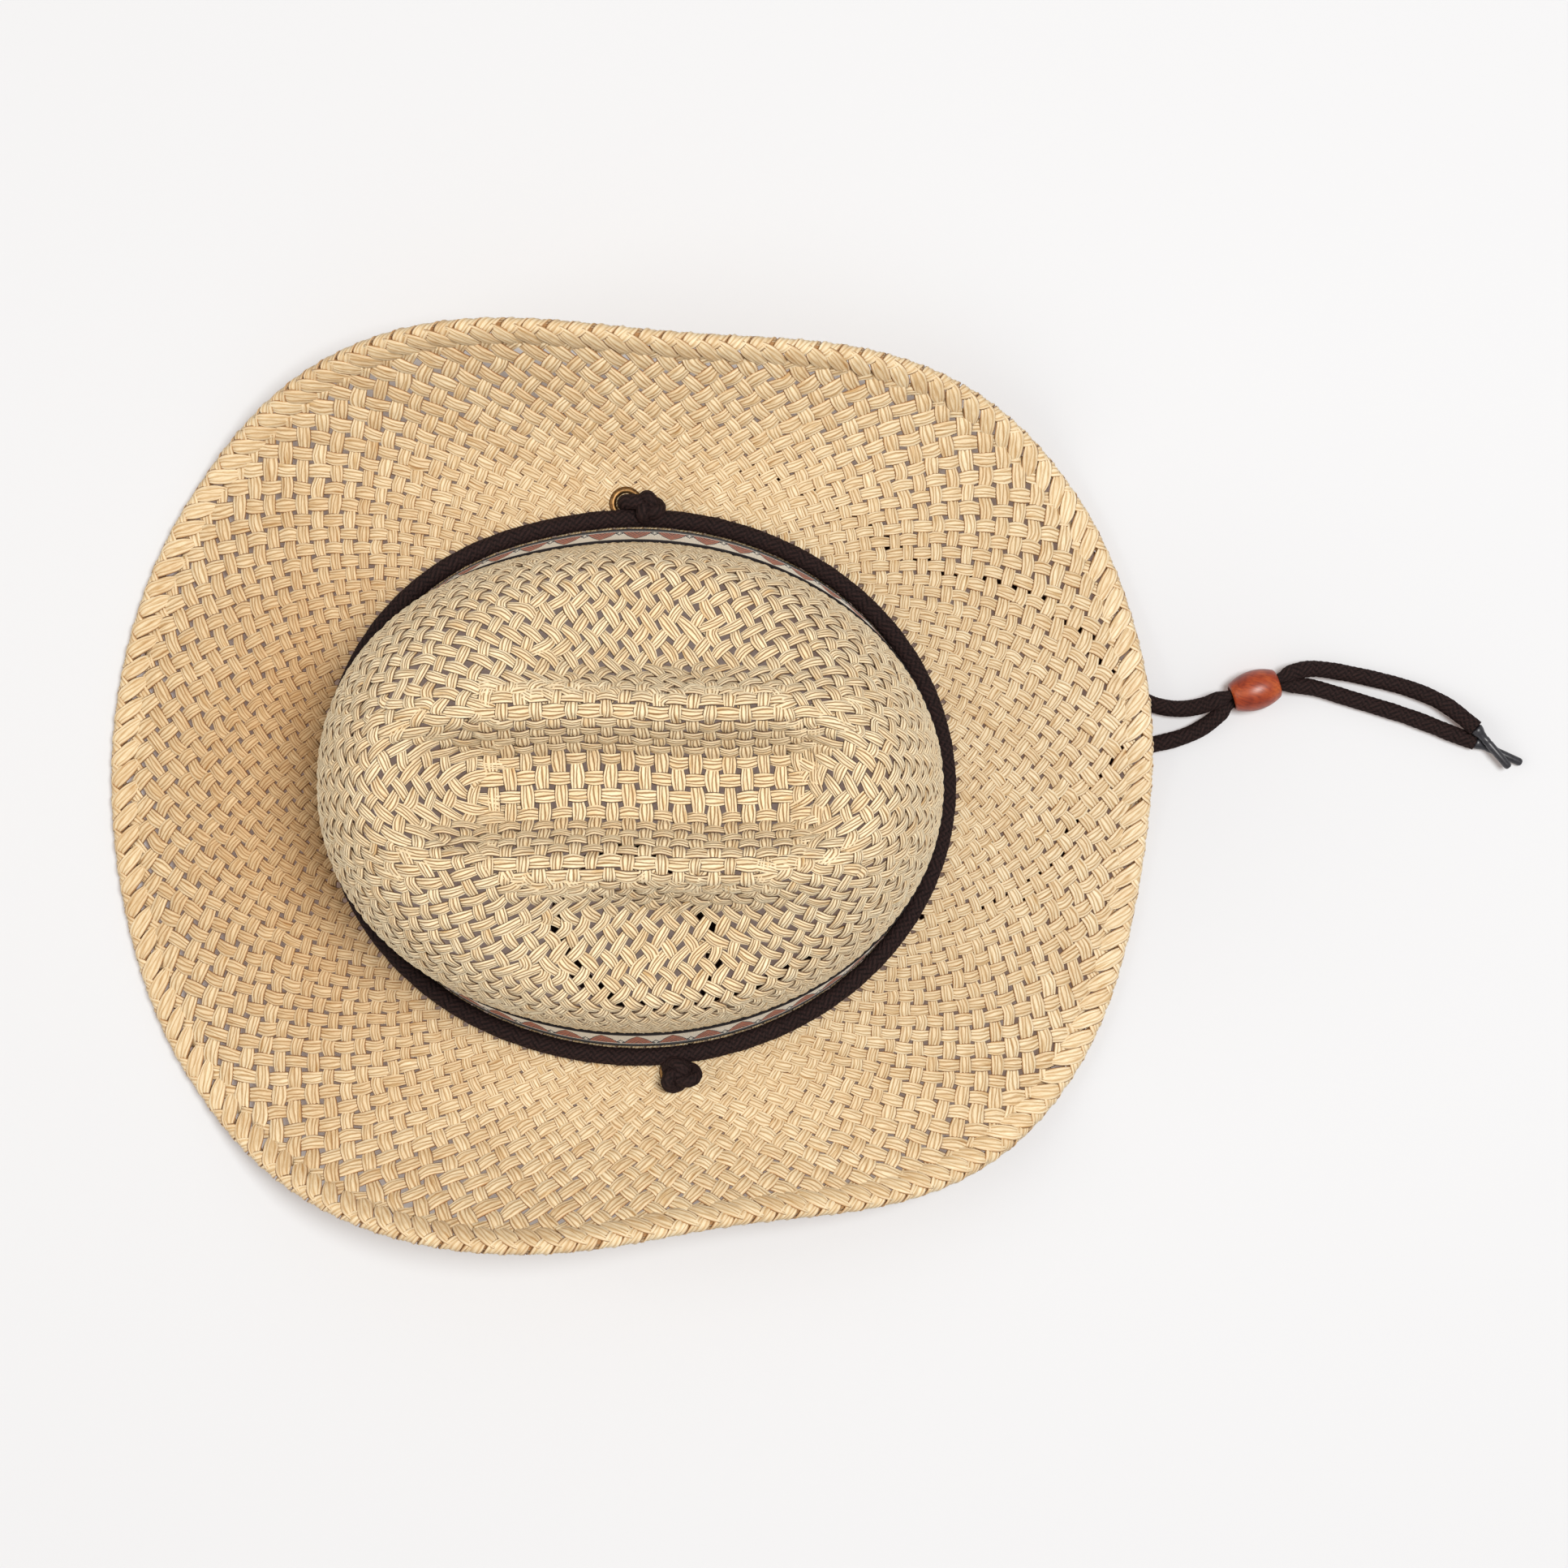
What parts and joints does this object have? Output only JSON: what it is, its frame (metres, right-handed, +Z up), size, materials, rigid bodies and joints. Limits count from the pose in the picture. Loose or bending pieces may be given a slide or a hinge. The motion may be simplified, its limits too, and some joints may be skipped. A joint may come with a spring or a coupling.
{
  "type": "straw western hat",
  "caption": "Woven straw western hat with a creased crown, rolled brim sides, patterned ribbon, band cord and a chin cord with a sliding wooden bead.",
  "frame": {"origin": "on the surface the hat stands on, below the middle of the brim's outline", "axes": "+Z up; the wearer looks along -Y; the wearer's left is +X"},
  "size_m": [0.3121, 0.4945, 0.1293],
  "materials": {
    "straw_crown": "pale woven paper straw, matte with a faint fibre sheen",
    "straw_brim": "pale woven paper straw, matte with a faint fibre sheen",
    "straw_braid": "straw strands turned back into a rolled braid",
    "steel_wire": "flat spring wire, hidden",
    "patterned_ribbon": "woven ribbon with black, cream and tan stepped triangles",
    "sweatband_cloth": "soft ribbed cloth with a stitched edge",
    "brown_cord": "dark brown braided cord, matte",
    "aged_brass": "antique brass, worn bright on the edges",
    "varnished_wood": "red-brown varnished wood with a fine grain",
    "black_plastic": "smooth black shrink plastic"
  },
  "bodies": {
    "hat": {"straw_crown": "straw_crown", "straw_brim": "straw_brim", "brim_edge_braid": "straw_braid", "brim_edge_wire": "steel_wire", "hatband_ribbon": "patterned_ribbon", "sweatband": "sweatband_cloth", "band_cord": "brown_cord", "cord_knot_left": "brown_cord", "cord_knot_right": "brown_cord", "eyelet_left": "aged_brass", "eyelet_right": "aged_brass", "eyelet_washer_left": "aged_brass", "eyelet_washer_right": "aged_brass", "chin_cord_left": "brown_cord", "chin_cord_right": "brown_cord", "aglet_left": "black_plastic", "aglet_right": "black_plastic"},
    "bead": {"slider_bead": "varnished_wood"}
  },
  "joints": [
    {"name": "bead_slide", "type": "slide", "parent": "hat", "child": "bead", "axis": [0.309, -0.9511, 0], "range_m": [-0.003, 0.008], "deforming": ["chin_cord_left", "chin_cord_right"]}
  ]
}
